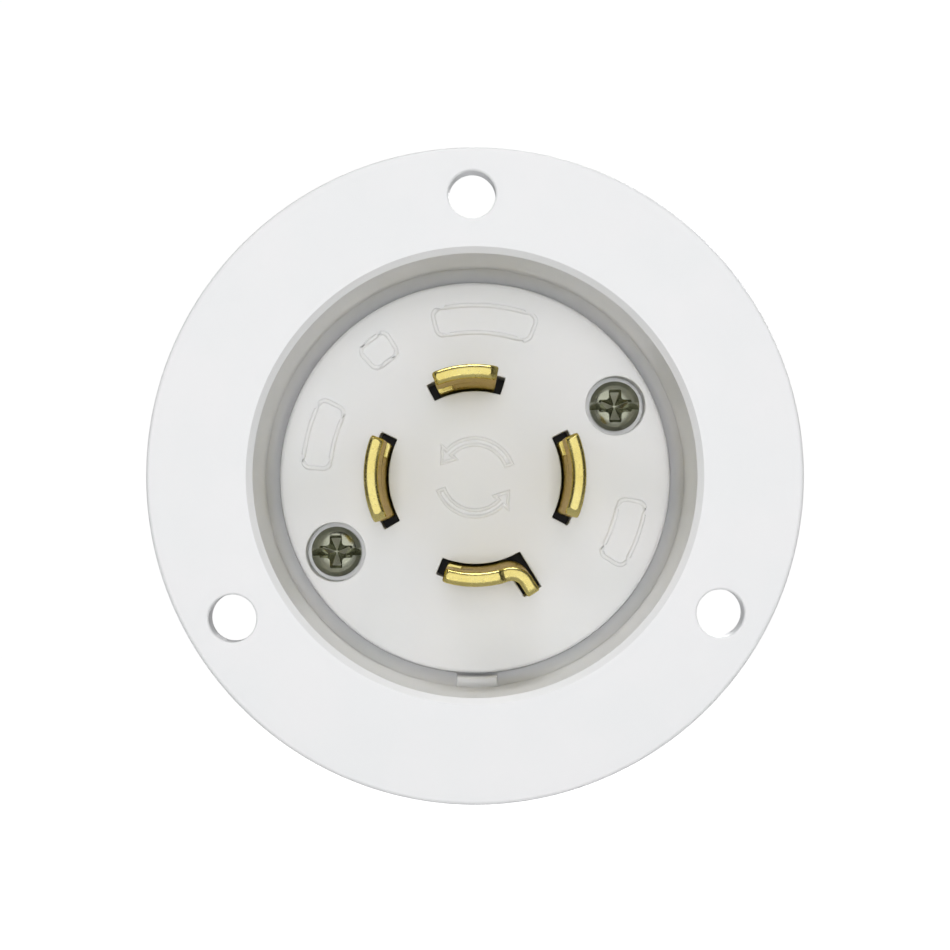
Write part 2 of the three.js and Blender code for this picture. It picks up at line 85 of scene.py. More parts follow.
# ------------------------------------------------------------------ sizes that the frame's boxes don't give
HOLE_R = 2.75
HOLE_CIRCLE_R = 32.55
HOLE_ANGLES = (90, 210, 330)
WALL_R = 25.8
MOUTH_BEVEL = 0.7
RELIEF_R = 26.6
CUP_R = 28.4
RELIEF_START = 11.4
GROOVE_DEPTH = 1.9
CONE_RISE = 2.4  # how far the groove floor rises from the disc out to the wall
LEDGE_R = 23.2
FACE_GAP = 0.2
RIB_W = 5.1
RIB_START, RIB_BEVEL = 1.9, 0.15  # how far the rib stands in front of the disc, and its edge
DISC_ROUND, BACK_BEVEL = 0.5, 0.15
HOLE_LIP = 0.3

BLADE_IN_R = 11.35
BLADE_T = 1.65
BLADE_MID_R = BLADE_IN_R + BLADE_T / 2
NOTCH = (7.5, 14.9)  # where the locking notch starts and ends, behind the blade's tip
NOTCH_REACH = 1.95
SEAT_DEPTH = 3.2
FOOT_HALF_W = 3.9
LEG_LEN = 1.55
LEG_BEND_R = 1.25
LEG_TURN = 76
# How a blade's tip is crowned: how much thinner each side is, at depths behind the tip.
TIP_CROWN = ((0, 0.6), (0.025, 0.42), (0.07, 0.26), (0.13, 0.14), (0.21, 0.05), (0.34, 0))
END_SLOPE = 0.7  # how far down the blade's ends slope
LEG_DROP = 0.5
SLOT_SIDE = 0.3
SLOT_END = 0.9
LEG_SIDE = 0.45

ASSEMBLY_R = 20.2
ASSEMBLY_ANGLES = {"upper": 26.5, "lower": 207.5}
POCKET_R = 3.75
LONG_SCREW_R = 1.72
SCREW_R = 2.085
SCREW_HEAD_H = 2.2
THREAD_PITCH = 0.794
WIRE_HOLE_R = 3.15
WIRE_HOLE_AXIS_R = 14.9
DRIVER_HOLE_R = 3.4
CHAMBER = {"half_w": 5.6, "in_r": 9.2, "out_r": 21.4, "front": 26.7}
GAUGE_END, GAUGE_TURN = 1.6, 18  # the strip gauge moulded beside each driver hole
PIN_R, PIN_AXIS_R, PIN_TURN, PIN_DEPTH = 1.3, 21.6, 52, 0.18  # the marks that ejector pins leave

TERMINALS = {
    "x": {"blade": "blade_hot_x", "facing": 180, "from": 157.9, "to": 204.8, "notch": 0},
    "y": {"blade": "blade_hot_y", "facing": 0, "from": -23.5, "to": 22.2, "notch": 1},
    "w": {"blade": "blade_neutral", "facing": 90, "from": 76.9, "to": 112.6, "notch": 1},
    "g": {"blade": "blade_ground", "facing": 270, "from": 252.0, "to": 287.0, "notch": 0},
}


# ------------------------------------------------------------------ outlines and rings
def polar(r, angle):
    return Vector((r * math.cos(math.radians(angle)), r * math.sin(math.radians(angle))))


def circle(r, steps, centre=(0, 0)):
    return [Vector(centre) + polar(r, 360 * i / steps) for i in range(steps)]


def filleted(corners, steps=5):
    """A closed outline from (a, b, radius) corners, each corner turned into an arc of its own radius."""
    points = []
    for i, (a, b, radius) in enumerate(corners):
        corner = Vector((a, b))
        if radius <= 0:
            points.append(corner)
            continue
        before = (Vector(corners[i - 1][:2]) - corner).normalized()
        after = (Vector(corners[(i + 1) % len(corners)][:2]) - corner).normalized()
        half = before.angle(after) / 2
        centre = corner + (before + after).normalized() * (radius / math.sin(half))
        start = corner + before * (radius / math.tan(half)) - centre
        end = corner + after * (radius / math.tan(half)) - centre
        turn = start.angle_signed(end)
        for k in range(steps + 1):
            points.append(centre + Matrix.Rotation(-turn * k / steps, 2) @ start)
    return points


def grown(outline, by):
    """The outline moved outward by a distance, mitred at its corners."""
    n = len(outline)
    area = sum(outline[i - 1].cross(outline[i]) for i in range(n))
    side = 1 if area > 0 else -1
    moved = []
    for i, point in enumerate(outline):
        a = (point - outline[i - 1]).normalized()
        b = (outline[(i + 1) % n] - point).normalized()
        normal = Vector((a.y + b.y, -a.x - b.x)) * side
        if normal.length < 1e-9:
            normal = Vector((a.y, -a.x)) * side
        normal.normalize()
        spread = max(0.5, normal.dot(Vector((a.y, -a.x)) * side))
        moved.append(point + normal * (by / spread))
    return moved


def quarter(radius, steps=5):
    """(sideways, inward) steps round a rounded edge, from the face to the side."""
    turns = [math.pi / 2 * i / steps for i in range(steps + 1)]
    return [(radius * (1 - math.sin(t)), radius * (1 - math.cos(t))) for t in turns]


# ------------------------------------------------------------------ meshes
def mesh_object(name, points, faces):
    """An object from points in millimetres, with its faces turned outward."""
    mesh = bpy.data.meshes.new(name)
    mesh.from_pydata([Vector(p) * MM for p in points], [], faces)
    tidy = bmesh.new()
    tidy.from_mesh(mesh)
    bmesh.ops.remove_doubles(tidy, verts=tidy.verts, dist=1e-8)
    bmesh.ops.recalc_face_normals(tidy, faces=tidy.faces)
    tidy.to_mesh(mesh)
    tidy.free()
    obj = bpy.data.objects.new(name, mesh)
    bpy.context.scene.collection.objects.link(obj)
    return obj


def skinned(name, rings, loop=False):
    """A closed solid through rings of 3-D points, capped at both ends or joined end to end."""
    n = len(rings[0])
    points = [p for ring in rings for p in ring]
    pairs = list(zip(range(len(rings)), range(1, len(rings))))
    if loop:
        pairs.append((len(rings) - 1, 0))
    faces = [
        (a * n + i, a * n + (i + 1) % n, b * n + (i + 1) % n, b * n + i) for a, b in pairs for i in range(n)
    ]
    if not loop:
        faces.append(tuple(range(n))[::-1])
        faces.append(tuple(range((len(rings) - 1) * n, len(rings) * n)))
    return mesh_object(name, points, faces)


def at_y(outline, y):
    return [Vector((p.x, y, p.y)) for p in outline]


def turned(name, corners, steps=192, loop=True, fillet_steps=5):
    """A body turned about the inlet's axis, from (radius, y, fillet) corners of its section."""
    section = filleted(corners, fillet_steps)
    rings = [at_y(circle(p.x, steps), p.y) for p in section]
    return skinned(name, rings, loop)


def layered(name, outline, levels):
    """A solid whose outline is grown or shrunk at each (y, growth) level."""
    return skinned(name, [at_y(grown(outline, by) if by else outline, y) for y, by in levels])


def lipped_cutter(outline, y_mouth, y_end, lip, mouth_first=True):
    """A cutter that leaves a rounded lip where it enters a face at y_mouth."""
    way = 1 if mouth_first else -1
    levels = [(y_mouth - way, lip)]
    levels += [(y_mouth + way * down, out) for out, down in quarter(lip)]
    levels.append((y_end, 0))
    return layered("cutter", outline, levels)


def combined(body, tools, operation="DIFFERENCE", solver="EXACT"):
    """body with each tool cut from it or joined to it; the tools are used up."""
    for tool in tools:
        change = body.modifiers.new("change", "BOOLEAN")
        change.operation = operation
        change.solver = solver
        change.object = tool
        ready = body.evaluated_get(bpy.context.evaluated_depsgraph_get())
        result = bpy.data.meshes.new_from_object(ready)
        body.modifiers.clear()
        old, body.data = body.data, result
        bpy.data.meshes.remove(old)
        bpy.data.objects.remove(tool)
    return body


def gathered(body, parts):
    """body and its parts as one mesh of several closed shells."""
    whole = bmesh.new()
    for part in [body] + parts:
        whole.from_mesh(part.data)
    whole.to_mesh(body.data)
    whole.free()
    for part in parts:
        bpy.data.objects.remove(part)
    return body


def spun(obj, angle):
    """Turns a mesh drawn facing +X about the inlet's axis to face an angle."""
    obj.data.transform(Matrix.Rotation(-math.radians(angle), 4, "Y"))
    return obj


def shifted(obj, x=0.0, y=0.0, z=0.0):
    obj.data.transform(Matrix.Translation(Vector((x, y, z)) * MM))
    return obj


def box_mesh(xs, ys, zs, bevel=0.0, segments=2):
    """A block between two corners, with bevelled edges if asked."""
    points = [(x, y, z) for x in xs for y in ys for z in zs]
    faces = [(0, 1, 3, 2), (4, 6, 7, 5), (0, 4, 5, 1), (2, 3, 7, 6), (0, 2, 6, 4), (1, 5, 7, 3)]
    obj = mesh_object("block", points, faces)
    if bevel:
        shape = bmesh.new()
        shape.from_mesh(obj.data)
        bmesh.ops.bevel(
            shape, geom=shape.edges[:], offset=bevel * MM, segments=segments, profile=0.5, affect="EDGES"
        )
        shape.to_mesh(obj.data)
        shape.free()
    return obj


def finished(obj, name, material, body, nodes, sharp=32):
    """Names a piece, smooths it up to its sharp edges, gives it its material and body, and hides the CAD
    nodes it stands in for.
    """
    obj.name = name
    obj.data.name = name
    obj.data.materials.clear()
    obj.data.materials.append(material)
    obj.data.shade_smooth()
    obj.data.set_sharp_from_angle(angle=math.radians(sharp))
    even = obj.modifiers.new("even", "WEIGHTED_NORMAL")
    even.mode = "FACE_AREA"
    even.weight = 50
    even.keep_sharp = True
    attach(obj, body)
    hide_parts(*nodes)
    return obj


# ------------------------------------------------------------------ materials
def linear(hex_colour):
    """A linear RGBA colour from an sRGB hex value."""
    parts = [(hex_colour >> shift & 255) / 255 for shift in (16, 8, 0)]
    return [c / 12.92 if c <= 0.04045 else ((c + 0.055) / 1.055) ** 2.4 for c in parts] + [1]


def node(tree, kind, settings=None, links=None, values=None):
    """Adds a node: settings are its properties, values its sockets' constants, links its sockets' sources."""
    made = tree.nodes.new(kind)
    for key, value in (settings or {}).items():
        setattr(made, key, value)
    for socket, value in (values or {}).items():
        made.inputs[socket].default_value = value
    for socket, source in (links or {}).items():
        tree.links.new(source, made.inputs[socket])
    return made


def blank_material(name):
    """An empty material, its node tree, and its object coordinates in millimetres."""
    material = bpy.data.materials.new(name)
    material.use_nodes = True
    tree = material.node_tree
    tree.nodes.clear()
    place = node(tree, "ShaderNodeTexCoord")
    scaled = {"operation": "SCALE"}
    size = node(tree, "ShaderNodeVectorMath", scaled, {0: place.outputs["Object"]}, {"Scale": 1 / MM})
    return material, tree, size.outputs[0]


def moulded_nylon(name, light, dark, roughness, grain, relief):
    """Injection-moulded nylon: an even colour and a soft sheen, with the spark texture of its mould.

    Tone drifts over about 9 mm, as it does where the melt cooled at different speeds. Real spark texture is
    about 0.05 mm across, too fine to show, so grain, in millimetres, draws it coarser. relief is its height.
    """
    drift = 9.0
    material, tree, where = blank_material(name)
    cloud_look = {"Scale": 1 / drift, "Detail": 2.0}
    clouds = node(tree, "ShaderNodeTexNoise", links={"Vector": where}, values=cloud_look)
    share = node(tree, "ShaderNodeMapRange", links={0: clouds.outputs[0]}, values={1: 0.35, 2: 0.65})
    colours = {6: linear(light), 7: linear(dark)}
    tint = node(tree, "ShaderNodeMix", {"data_type": "RGBA"}, {0: share.outputs[0]}, colours)
    spark_look = {"Scale": 1 / grain, "Detail": 2.0, "Roughness": 0.6}
    spark = node(tree, "ShaderNodeTexNoise", links={"Vector": where}, values=spark_look)
    sheen_range = {1: 0.3, 2: 0.7, 3: roughness - 0.04, 4: roughness + 0.05}
    sheen = node(tree, "ShaderNodeMapRange", links={0: spark.outputs[0]}, values=sheen_range)
    pits = {"Strength": 0.35, "Distance": relief * MM}
    bumps = node(tree, "ShaderNodeBump", links={"Height": spark.outputs[0]}, values=pits)
    surface = node(
        tree,
        "ShaderNodeBsdfPrincipled",
        links={"Base Color": tint.outputs[2], "Roughness": sheen.outputs[0], "Normal": bumps.outputs[0]},
        values={"IOR": 1.53},
    )
    node(tree, "ShaderNodeOutputMaterial", links={"Surface": surface.outputs[0]})
    return material


def worked_metal(name, light, dark, roughness, grain, relief=0.004, glancing=0xFFFFFF):
    """Sheet, turned or plated metal: a mirror dulled by fine handling marks.

    Colour drifts over about 4 mm, as tarnish does. Real marks from tumbling are about 0.03 mm across, too
    fine to show, so grain, in millimetres, draws them coarser. relief is their height. glancing is the colour
    of the metal where it is seen almost edge on.
    """
    tarnish = 4.0
    material, tree, where = blank_material(name)
    drift_look = {"Scale": 1 / tarnish, "Detail": 3.0}
    drift = node(tree, "ShaderNodeTexNoise", links={"Vector": where}, values=drift_look)
    share = node(tree, "ShaderNodeMapRange", links={0: drift.outputs[0]}, values={1: 0.35, 2: 0.68})
    colours = {6: linear(light), 7: linear(dark)}
    tint = node(tree, "ShaderNodeMix", {"data_type": "RGBA"}, {0: share.outputs[0]}, colours)
    mark_look = {"Scale": 1 / grain, "Detail": 4.0, "Roughness": 0.65}
    marks = node(tree, "ShaderNodeTexNoise", links={"Vector": where}, values=mark_look)
    dull_range = {1: 0.3, 2: 0.75, 3: roughness - 0.05, 4: roughness + 0.08}
    dull = node(tree, "ShaderNodeMapRange", links={0: marks.outputs[0]}, values=dull_range)
    scratches = {"Strength": 0.25, "Distance": relief * MM}
    bumps = node(tree, "ShaderNodeBump", links={"Height": marks.outputs[0]}, values=scratches)
    surface = node(
        tree,
        "ShaderNodeBsdfPrincipled",
        links={"Base Color": tint.outputs[2], "Roughness": dull.outputs[0], "Normal": bumps.outputs[0]},
        values={"Metallic": 1.0, "Specular Tint": linear(glancing)},
    )
    node(tree, "ShaderNodeOutputMaterial", links={"Surface": surface.outputs[0]})
    return material


# Nylon 6/6, moulded: an even white, with a sheen so soft that lamps leave no shapes in it.
WHITE_NYLON = moulded_nylon("white_nylon", 0xECECED, 0xEAEBEC, 0.42, 0.35, 0.004)
# Glass-filled nylon, moulded: black and duller, with a rougher skin where the glass reaches it.
BLACK_NYLON = moulded_nylon("black_glass_filled_nylon", 0x1B1B1D, 0x232326, 0.5, 0.25, 0.02)
# Cartridge brass, stamped and tumbled: pale gold where it faces a lamp, brown on its rounded edges.
BLADE_BRASS = worked_metal("tumbled_cartridge_brass", 0xE8DA8E, 0xE0CE7C, 0.24, 0.5, 0.0002, 0xB89C5C)
# Free-cutting brass, turned: deeper gold, with the fine rings of the tool blurred into a sheen.
SCREW_BRASS = worked_metal("turned_brass", 0xD9B65A, 0xC29C48, 0.28, 0.2)
# Nickel plate on steel: a grey mirror with a faint olive cast.
NICKEL = worked_metal("nickel_plate", 0xB4B6A4, 0xA4A694, 0.2, 0.4, 0.001)
# Zinc plate on steel, clear passivated: a pale, slightly blue, cloudy metal.
ZINC = worked_metal("zinc_plated_steel", 0xC4C7CB, 0xA9ADB3, 0.3, 0.3)
# Plated steel under green dye: a metal that shines green, as an earth screw does.
GREEN = worked_metal("green_dyed_plate", 0x2E8A4C, 0x1F6B38, 0.3, 0.25)


# ------------------------------------------------------------------ flange and cup
def flange_housing():
    """The white moulding: a flat ring with a rounded rim, and the cup that stands back from it."""
    y_relief = Y_FRONT + RELIEF_START
    body = turned(
        "flange_housing",
        [
            (WALL_R + MOUTH_BEVEL, Y_FRONT, 0.12),
            (FLANGE_R, Y_FRONT, 0.5),
            (FLANGE_R, 0, 0.3),
            (CUP_R, 0, 0.4),
            (CUP_R, Y_LEDGE_BACK, 0.4),
            (LEDGE_R, Y_LEDGE_BACK, 0.2),
            (LEDGE_R, Y_LEDGE, 0.1),
            (FACE_R + FACE_GAP, Y_LEDGE, 0.1),
            (FACE_R + FACE_GAP, Y_FACE + GROOVE_DEPTH, 0.25),
            (RELIEF_R, Y_FACE + GROOVE_DEPTH - CONE_RISE, 0.35),
            (RELIEF_R, y_relief, 0.12),
            (WALL_R, y_relief, 0.15),
            (WALL_R, Y_FRONT + MOUTH_BEVEL, 0.12),
        ],
        steps=240,
    )
    half_rib = math.degrees(RIB_W / 2 / WALL_R)
    y_rib = Y_FACE - RIB_START
    rib = sector(FACE_R + 0.35, RELIEF_R + 0.9, 270 - half_rib, 270 + half_rib, 12)
    key = sector(LEDGE_R - 1.4, LEDGE_R + 0.9, 270 - half_rib, 270 + half_rib, 12)
    body = combined(
        body,
        [
            layered("rib", rib, [(y_rib, -RIB_BEVEL), (y_rib + RIB_BEVEL, 0), (Y_LEDGE + 1.2, 0)]),
            layered("key", key, [(Y_LEDGE + 0.02, 0), (Y_LEDGE_BACK - 0.02, 0)]),
        ],
        "UNION",
    )
    holes = []
    for angle in HOLE_ANGLES:
        outline = circle(HOLE_R, 72, polar(HOLE_CIRCLE_R, angle))
        holes.append(lipped_cutter(outline, Y_FRONT, 3, HOLE_LIP))
    return combined(body, holes)


def sector(r_in, r_out, start, stop, steps):
    """A piece of a ring, anticlockwise from its outer side."""
    angles = [start + (stop - start) * i / steps for i in range(steps + 1)]
    return [polar(r_out, a) for a in angles] + [polar(r_in, a) for a in reversed(angles)]


# ------------------------------------------------------------------ blades
def arc_line(facing):
    """Place and outward normal along the ring on which the blades stand; u is the length from facing."""

    def at(u):
        way = polar(1, facing + math.degrees(u / BLADE_MID_R))
        return way * BLADE_MID_R, way

    return at


def leg_line(terminal):
    """The ground blade's line from the arc's end: a bend outward, then straight. u is 0 where it bends."""
    end = terminal["to"]
    bend_mid = LEG_BEND_R + BLADE_T / 2
    centre = polar(BLADE_IN_R + BLADE_T + LEG_BEND_R, end)
    bend_len = math.radians(LEG_TURN) * bend_mid
    arc = arc_line(end)

    def at(u):
        if u < 0:
            return arc(u)
        turn = min(u, bend_len) / bend_mid
        out = polar(1, end + 180 - math.degrees(turn))
        along = Vector((out.y, -out.x))
        return centre + out * bend_mid + along * max(0, u - bend_len), -out

    return at, bend_len


def strip_ring(at, start, stop, half_t, corner, y, side_steps=20):
    """A strip's section at y: its two long sides follow the line, and its four corners are rounded."""
    corner = min(corner, half_t * 0.98, (stop - start) / 2.1)
    flat = []
    for i in range(side_steps + 1):
        flat.append((start + corner + (stop - start - 2 * corner) * i / side_steps, half_t))
    far, near = stop - corner, start + corner
    inset = half_t - corner
    for quarter_turn, (cu, cv) in enumerate([(far, inset), (far, -inset)]):
        for k in range(1, 5):
            turn = math.pi / 2 * (1 - quarter_turn - k / 4)
            flat.append((cu + corner * math.cos(turn), cv + corner * math.sin(turn)))
    for i in range(side_steps + 1):
        flat.append((stop - corner - (stop - start - 2 * corner) * i / side_steps, -half_t))
    for quarter_turn, (cu, cv) in enumerate([(near, -inset), (near, inset)]):
        for k in range(1, 5):
            turn = -math.pi / 2 * (1 + quarter_turn + k / 4)
            flat.append((cu + corner * math.cos(turn), cv + corner * math.sin(turn)))
    ring = []
    for u, v in flat:
        place, normal = at(u)
        point = place + normal * v
        ring.append(Vector((point.x, y, point.y)))
    return ring


def blade_levels(end_slopes, notch_end, notch):
    """(y behind the tip, trim at the start, trim at the end, thinning) down a blade's curved part."""
    levels = []
    for depth, thin in TIP_CROWN + ((END_SLOPE, 0),):
        slope = max(0, 1 - depth / END_SLOPE)
        levels.append([depth, end_slopes[0] * slope, end_slopes[1] * slope, thin])
    for y, reach in (
        (notch[0] - 0.12, 0),
        (notch[0] - 0.03, 0.03),
        (notch[0], 0.12),
        (notch[0], NOTCH_REACH - 0.2),
        (notch[0] + 0.06, NOTCH_REACH - 0.06),
        (notch[0] + 0.2, NOTCH_REACH),
        (notch[1] - 0.2, NOTCH_REACH),
        (notch[1] - 0.06, NOTCH_REACH - 0.06),
        (notch[1], NOTCH_REACH - 0.2),
        (notch[1], 0.12),
        (notch[1] + 0.03, 0.03),
        (notch[1] + 0.12, 0),
    ):
        levels.append([y, 0 if notch_end else reach, reach if notch_end else 0, 0])
    return levels


def blade(terminal):
    """A brass blade: a curved strip with eased edges and a locking notch, and the flat foot behind it."""
    facing = terminal["facing"]
    at = arc_line(facing)
    start, stop = [math.radians(terminal[k] - facing) * BLADE_MID_R for k in ("from", "to")]
    half_t, corner = BLADE_T / 2, 0.3
    slopes = (0.32, 0.8) if terminal["notch"] == 0 else (0.8, 0.32)
    rings = []
    for depth, left, right, thin in blade_levels(slopes, terminal["notch"], NOTCH):
        rings.append(strip_ring(at, start + left, stop - right, half_t - thin, corner, Y_TIP + depth))
    y_shoulder = Y_LEDGE + SEAT_DEPTH
    rings.append(strip_ring(at, start, stop, half_t, corner, y_shoulder - 0.1))
    rings.append(strip_ring(at, start + 0.1, stop - 0.1, half_t - 0.1, corner, y_shoulder))
    body = skinned(terminal["blade"], rings)
    thickness = (BLADE_IN_R, BLADE_IN_R + BLADE_T)
    foot = box_mesh(thickness, (y_shoulder - BLADE_T, Y_FOOT_END), (-FOOT_HALF_W, FOOT_HALF_W), 0.15)
    bore = side_bore([(0, SCREW_R + 0.14), (BODY_R, SCREW_R + 0.14)], Y_SCREW)
    parts = [spun(combined(foot, [bore]), facing)]
    if terminal["blade"] == "blade_ground":
        parts.append(ground_leg(terminal, y_shoulder))
    return combined(body, parts, "UNION")


def ground_leg(terminal, y_end):
    """The ground blade's leg, which bends outward from the end of its arc."""
    at, bend_len = leg_line(terminal)
    start, stop = -0.9, bend_len + LEG_LEN
    half_t = BLADE_T / 2 - 0.004
    levels = [(LEG_DROP + down, out) for down, out in TIP_CROWN] + [(y_end - Y_TIP - 0.3, 0)]
    rings = [strip_ring(at, start + t, stop - 1.2 * t, half_t - t, 0.25, Y_TIP + y, 28) for y, t in levels]
    return skinned("leg", rings)


def side_bore(profile, y, steps=64):
    """A round cutter along X through (x, radius) places, to bore with from the side."""
    return skinned("bore", [[Vector((x, y + p.x, p.y)) for p in circle(r, steps)] for x, r in profile])


def slot_outlines(terminal):
    """The holes in the face plate that a blade's curved part, and a leg if it has one, stand in."""
    past = math.degrees(SLOT_END / BLADE_IN_R)
    r_in, r_out = BLADE_IN_R - SLOT_SIDE, BLADE_IN_R + BLADE_T + SLOT_SIDE
    start, stop = terminal["from"] - past, terminal["to"] + past
    if terminal["blade"] != "blade_ground":
        return [softened(sector(r_in, r_out, start, stop, 30))]
    at, bend_len = leg_line(terminal)
    place, normal = at(bend_len)
    along = Vector((-normal.y, normal.x))
    half = BLADE_T / 2 + LEG_SIDE
    back, reach = -(LEG_BEND_R + BLADE_T / 2), LEG_LEN + SLOT_END
    corners = ((back, -half), (reach, -half), (reach, half), (back, half))
    leg = [place + along * u + normal * v for u, v in corners]
    corner_angle = math.degrees(math.atan2(leg[0].y, leg[0].x)) % 360
    return [softened(sector(r_in, r_out, start, corner_angle, 30)), softened(leg, 0.12)]


def softened(outline, radius=0.22):
    """The outline with its sharp corners rounded and the rest of it as it was."""
    corners = []
    for i, point in enumerate(outline):
        before = point - outline[i - 1]
        after = outline[(i + 1) % len(outline)] - point
        room = min(radius, before.length / 2.2, after.length / 2.2)
        sharp = before.angle(after) > math.radians(25)
        corners.append((point.x, point.y, room if sharp else 0))
    return filleted(corners, 4)


# ------------------------------------------------------------------ face plate
def face_plate():
    """The white insulating disc on the cup's floor, with lipped blade slots and two screw pockets."""
    levels = [(Y_FACE + down, -out) for out, down in quarter(DISC_ROUND, 6)]
    levels += [(Y_LEDGE - BACK_BEVEL, 0), (Y_LEDGE, -BACK_BEVEL)]
    body = layered("face_plate", circle(FACE_R, 240), levels)
    cutters = []
    for terminal in TERMINALS.values():
        cutters += [lipped_cutter(outline, Y_FACE, Y_LEDGE + 1, 0.16) for outline in slot_outlines(terminal)]
    for angle in ASSEMBLY_ANGLES.values():
        centre = polar(ASSEMBLY_R, angle)
        cutters.append(lipped_cutter(circle(POCKET_R, 96, centre), Y_FACE, Y_LONG_HEAD + 2.3, 0.25))
        bore = circle(LONG_SCREW_R + 0.25, 32, centre)
        cutters.append(layered("bore", bore, [(Y_FACE, 0), (Y_LEDGE + 1, 0)]))
    return combined(body, cutters)


def ridge(outline, half_w=0.3, height=0.3):
    """A thin raised line on the face plate that follows an outline."""
    y_top, ease = Y_FACE - height, 0.17
    levels = [(Y_FACE + 0.3, half_w), (y_top + ease, half_w), (y_top, half_w - ease)]
    levels += [(y, -by) for y, by in reversed(levels)]
    return skinned("ridge", [at_y(grown(outline, by), y) for y, by in levels], loop=True)


def arc_frame(r_mid, half_w, start, stop):
    """The outline of a curved pad with round ends."""
    end_turn = math.degrees(half_w / r_mid)
    steps = max(6, round((stop - start) / 3))
    outline = sector(r_mid - half_w, r_mid + half_w, start + end_turn, stop - end_turn, steps)
    corners = [(p.x, p.y, 0) for p in outline]
    for i in (0, steps, steps + 1, 2 * steps + 1):
        corners[i] = (outline[i].x, outline[i].y, half_w * 0.55)
    return filleted(corners, 6)


def turn_arrow(r_mid, start, stop):
    """The outline of a curved arrow that shows which way the connector twists to lock."""
    half, head, head_half = 0.42, 14, 1.15
    angles = [start + (stop - head - start) * i / 16 for i in range(17)]
    outer = [polar(r_mid + half, a) for a in angles]
    inner = [polar(r_mid - half, a) for a in reversed(angles)]
    barb = stop - head
    tip = [polar(r_mid + head_half, barb), polar(r_mid, stop + 6), polar(r_mid - head_half, barb)]
    return outer + tip + inner


def face_marks():
    """Raised blank frames where such an inlet has its ratings, and two arrows that show the locking turn."""
    frames = [arc_frame(20.3, 1.75, *ends) for ends in ((147, 181), (116, 137), (63, 109), (-37, -4))]
    arrows = [turn_arrow(4.6, 20 + turn, 150 + turn) for turn in (0, 180)]
    return [ridge(outline) for outline in frames] + [ridge(outline, 0.26) for outline in arrows]


# ------------------------------------------------------------------ screws and nuts
def spindle(name, corners, steps=96):
    """A solid turned about Y, from (radius, y, fillet) corners that run from its front to its back."""
    return skinned(name, [at_y(circle(max(p.x, 0.02), steps), p.y) for p in filleted(corners, 4)])


def threaded(radius, y_start, y_end, steps=32, per_turn=8):
    """A threaded shank along Y, whose ridges follow a helix and fade out at its tip."""
    count = round((y_end - y_start) / THREAD_PITCH * per_turn)
    rings = []
    for i in range(count + 1):
        y = y_start + (y_end - y_start) * i / count
        fade = min(1, (count - i + 1) / per_turn)
        ring = []
        for k in range(steps):
            phase = (i / per_turn - k / steps) % 1
            cut_in = 0.5 * THREAD_PITCH * (1 - abs(2 * phase - 1))
            spot = polar(radius - max(cut_in, 0.5 * THREAD_PITCH * (1 - fade)), 360 * k / steps)
            ring.append(Vector((spot.x, y, spot.y)))
        rings.append(ring)
    return skinned("shank", rings)


def cross(scale, reach=2.15, half=0.8, hollow=0.4):
    """The outline of a cross recess, whose inner corners are hollow curves."""
    corners = []
    for turn in range(4):
        for a, b, radius in ((reach, -half, 0.2), (reach, half, 0.2), (half, half, hollow)):
            p = Matrix.Rotation(turn * math.pi / 2, 2) @ Vector((a, b)) * scale
            corners.append((p.x, p.y, radius * scale))
    return filleted(corners, 4)


def screw(name, head_r, head_h, shank_r, length):
    """A pan-head screw with a slot and a cross recess. Its head's top is at y = 0, its shank along +Y."""
    shares = (0.02, 0.2, 0.4, 0.55, 0.68, 0.78, 0.86, 0.92, 0.965)
    dome = [(head_r * share, 0.3 * head_h * share**6, 0) for share in shares]
    rim = [(head_r, 0.33 * head_h, 0.15), (head_r, head_h, 0.15), (0.02, head_h, 0)]
    head = spindle(name, dome + rim, 128)
    scale = head_r / 3.2
    depths = ((-0.5, 1.1), (0, 1), (0.8, 0.82), (1.7, 0.1))
    recess = skinned("recess", [at_y(cross(scale * share), y) for y, share in depths])
    w, shallow, deep, lip = 0.48 * scale, 0.8, 1.3, 0.1
    upper = [(-1, w + lip), (0, w + lip), (lip, w), (shallow, w)]
    lower = [(deep, -w), (lip, -w), (0, -w - lip), (-1, -w - lip)]
    section = upper + lower
    ends = (-head_r - 1, head_r + 1)
    slot = skinned("slot", [[Vector((x, y, z)) for y, z in section] for x in ends])
    combined(head, [recess, slot])
    return combined(head, [threaded(shank_r, head_h - 0.3, length)], "UNION")


def hex_outline(across, turn=0):
    return [polar(across / math.sqrt(3), turn + 60 * i) for i in range(6)]


def nut(name):
    """A hexagon nut with its corners turned off on both faces and a countersunk thread."""
    y_in, y_out = Y_NUT
    blank = layered(name, hex_outline(NUT_ACROSS_FLATS), [(y_in, 0), (y_out, 0)])
    big, small = NUT_ACROSS_FLATS / math.sqrt(3) + 0.02, NUT_ACROSS_FLATS / 2 - 0.05
    front = [(0.02, y_in, 0), (small, y_in, 0), (big, y_in + 0.4, 0)]
    back = [(big, y_out - 0.4, 0), (small, y_out, 0), (0.02, y_out, 0)]
    combined(blank, [spindle("turning", front + back)], "INTERSECT", "MANIFOLD")
    r = LONG_SCREW_R
    bore = [(r + 0.4, y_in - 0.1), (r + 0.02, y_in + 0.35), (r + 0.02, y_out - 0.35), (r + 0.4, y_out + 0.1)]
    return combined(blank, [skinned("bore", [at_y(circle(radius, 48), y) for radius, y in bore])])


